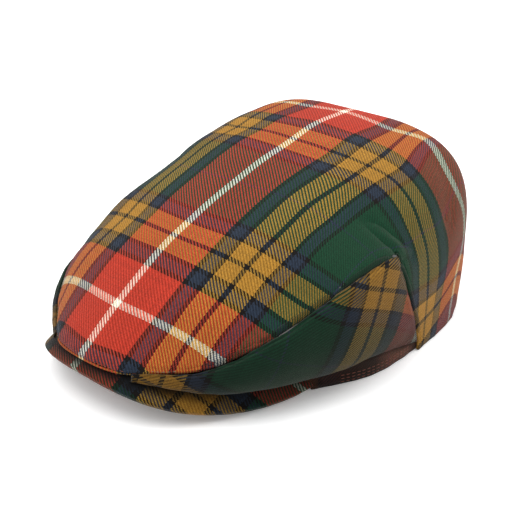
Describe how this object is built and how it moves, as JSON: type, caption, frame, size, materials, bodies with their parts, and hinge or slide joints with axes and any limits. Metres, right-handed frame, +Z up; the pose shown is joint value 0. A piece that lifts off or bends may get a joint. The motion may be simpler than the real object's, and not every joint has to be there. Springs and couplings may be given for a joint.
{
  "type": "flat cap",
  "caption": "Soft flat cap of checked wool twill lying on its rim, with a crown of three panels, tucked side hems and a stiff curved peak.",
  "frame": {"origin": "middle of the cap's box, on the floor that it lies on", "axes": "+Z up, the peak towards -Y, the wearer's left at +X"},
  "size_m": [0.1804, 0.249, 0.0982],
  "materials": {
    "top_cloth": "wool twill, matt",
    "side_cloth": "wool twill, matt",
    "hem_cloth": "wool twill, stitched",
    "peak_cloth": "wool twill over stiff board"
  },
  "bodies": {
    "root": {"top_panel": "top_cloth", "side_panel_left": "side_cloth", "side_panel_right": "side_cloth", "hem_left": "hem_cloth", "hem_right": "hem_cloth", "peak": "peak_cloth"}
  },
  "joints": []
}
